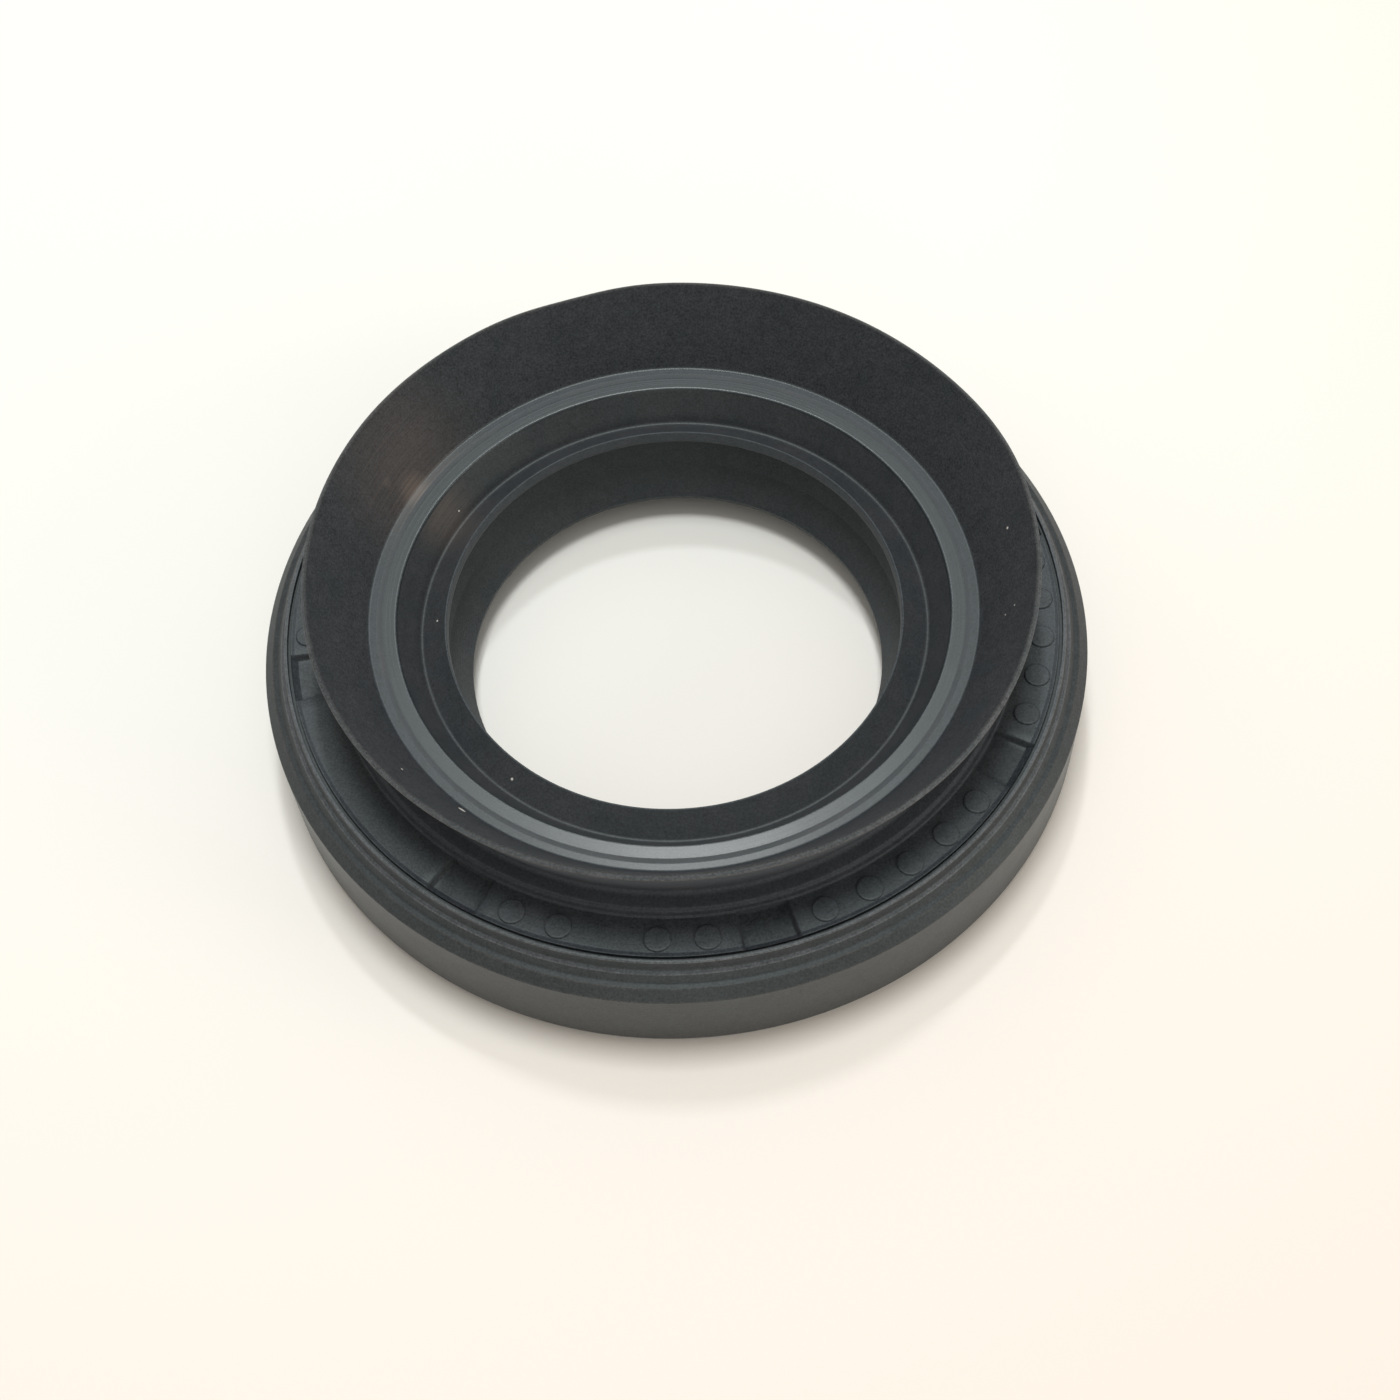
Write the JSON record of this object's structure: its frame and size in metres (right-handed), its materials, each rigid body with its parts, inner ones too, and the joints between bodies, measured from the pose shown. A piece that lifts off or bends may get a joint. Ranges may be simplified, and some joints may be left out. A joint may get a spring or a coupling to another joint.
{
  "type": "radial shaft seal",
  "caption": "Rubber-covered rotary shaft seal with a flared side lip, dust lip, spring-loaded sealing lip and steel-reinforced press-fit body.",
  "frame": {"origin": "centre of the oil-side face, on the shaft axis", "axes": "+Z along the shaft axis towards the air side and the flared side lip; +X and +Y across it"},
  "size_m": [0.06, 0.06, 0.0158],
  "materials": {
    "rubber": "satin moulded rubber",
    "case_steel": "dull phosphated steel",
    "spring_steel": "bright drawn wire"
  },
  "bodies": {
    "root": {"rubber_body": "rubber", "steel_case": "case_steel", "garter_spring": "spring_steel"}
  },
  "joints": []
}
